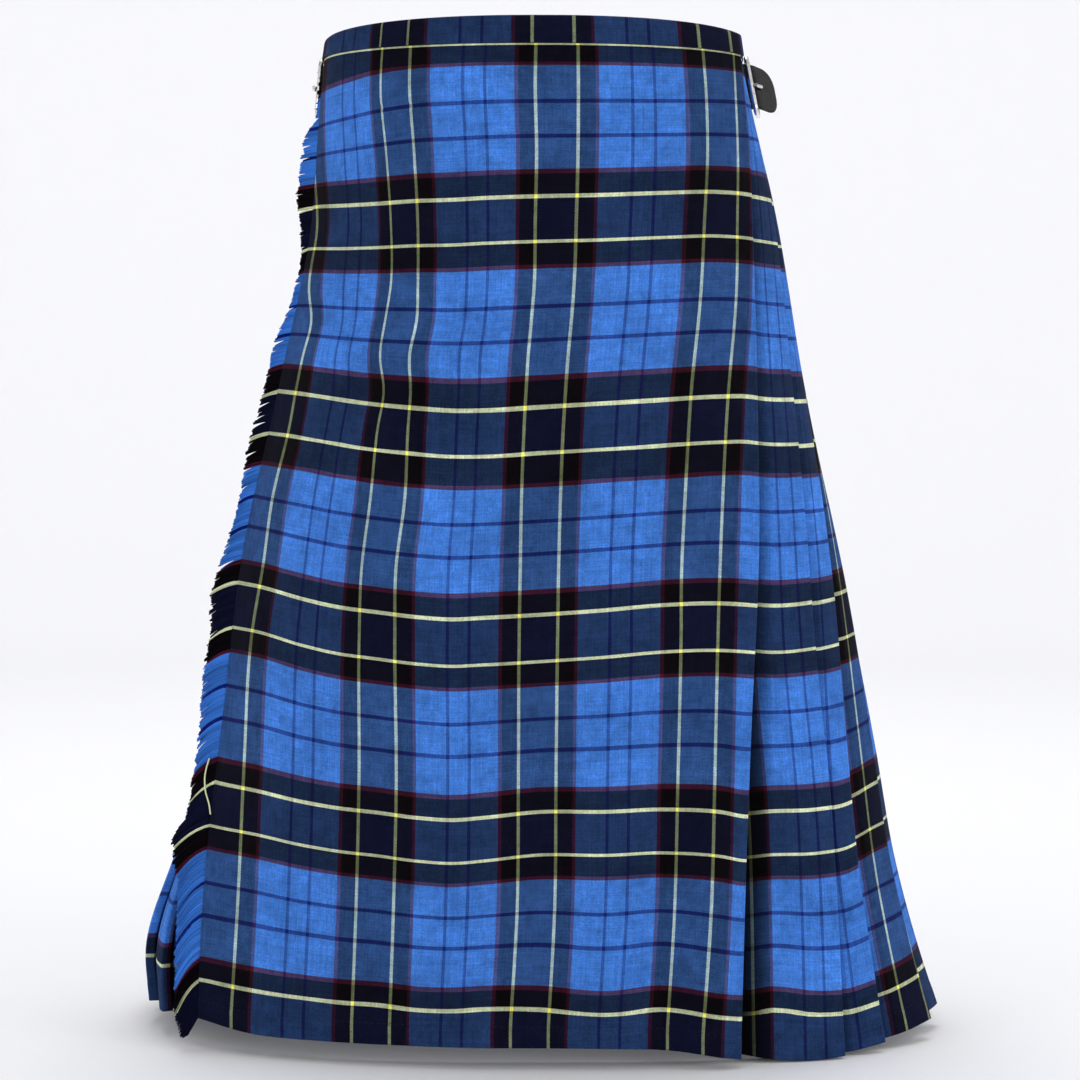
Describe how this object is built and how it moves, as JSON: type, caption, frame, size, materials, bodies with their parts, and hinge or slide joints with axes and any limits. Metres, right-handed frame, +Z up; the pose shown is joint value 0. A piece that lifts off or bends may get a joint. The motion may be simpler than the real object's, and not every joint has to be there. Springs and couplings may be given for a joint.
{
  "type": "pleated tartan kilt",
  "caption": "Knee-length wrap kilt in blue, navy and yellow tartan with a flat front apron, fringed edge, knife pleats round the sides and back, and hip straps with buckles.",
  "frame": {"origin": "centre of the waist opening, level with the seam under the waistband", "axes": "+Z up towards the waistband, -Y the front with the flat over apron, +X towards the wearer's left, where the over apron folds and the pleats begin"},
  "size_m": [0.5046, 0.3149, 0.6264],
  "materials": {
    "tartan_cloth": "matt wool twill in blue, navy and black with yellow and red lines",
    "wool_fringe": "drawn-out wool yarns",
    "black_leather": "smooth black leather",
    "nickel": "polished nickel plate"
  },
  "bodies": {
    "root": {"over_apron": "tartan_cloth", "under_apron": "tartan_cloth", "left_hip_pleats": "tartan_cloth", "back_pleats_left": "tartan_cloth", "back_pleats_right": "tartan_cloth", "right_hip_pleats": "tartan_cloth", "waistband": "tartan_cloth", "apron_fringe": "wool_fringe", "left_hip_strap": "black_leather", "left_hip_chape": "black_leather", "left_hip_buckle": "nickel", "left_hip_prong": "nickel", "right_hip_strap": "black_leather", "right_hip_chape": "black_leather", "right_hip_buckle": "nickel", "right_hip_prong": "nickel"}
  },
  "joints": []
}
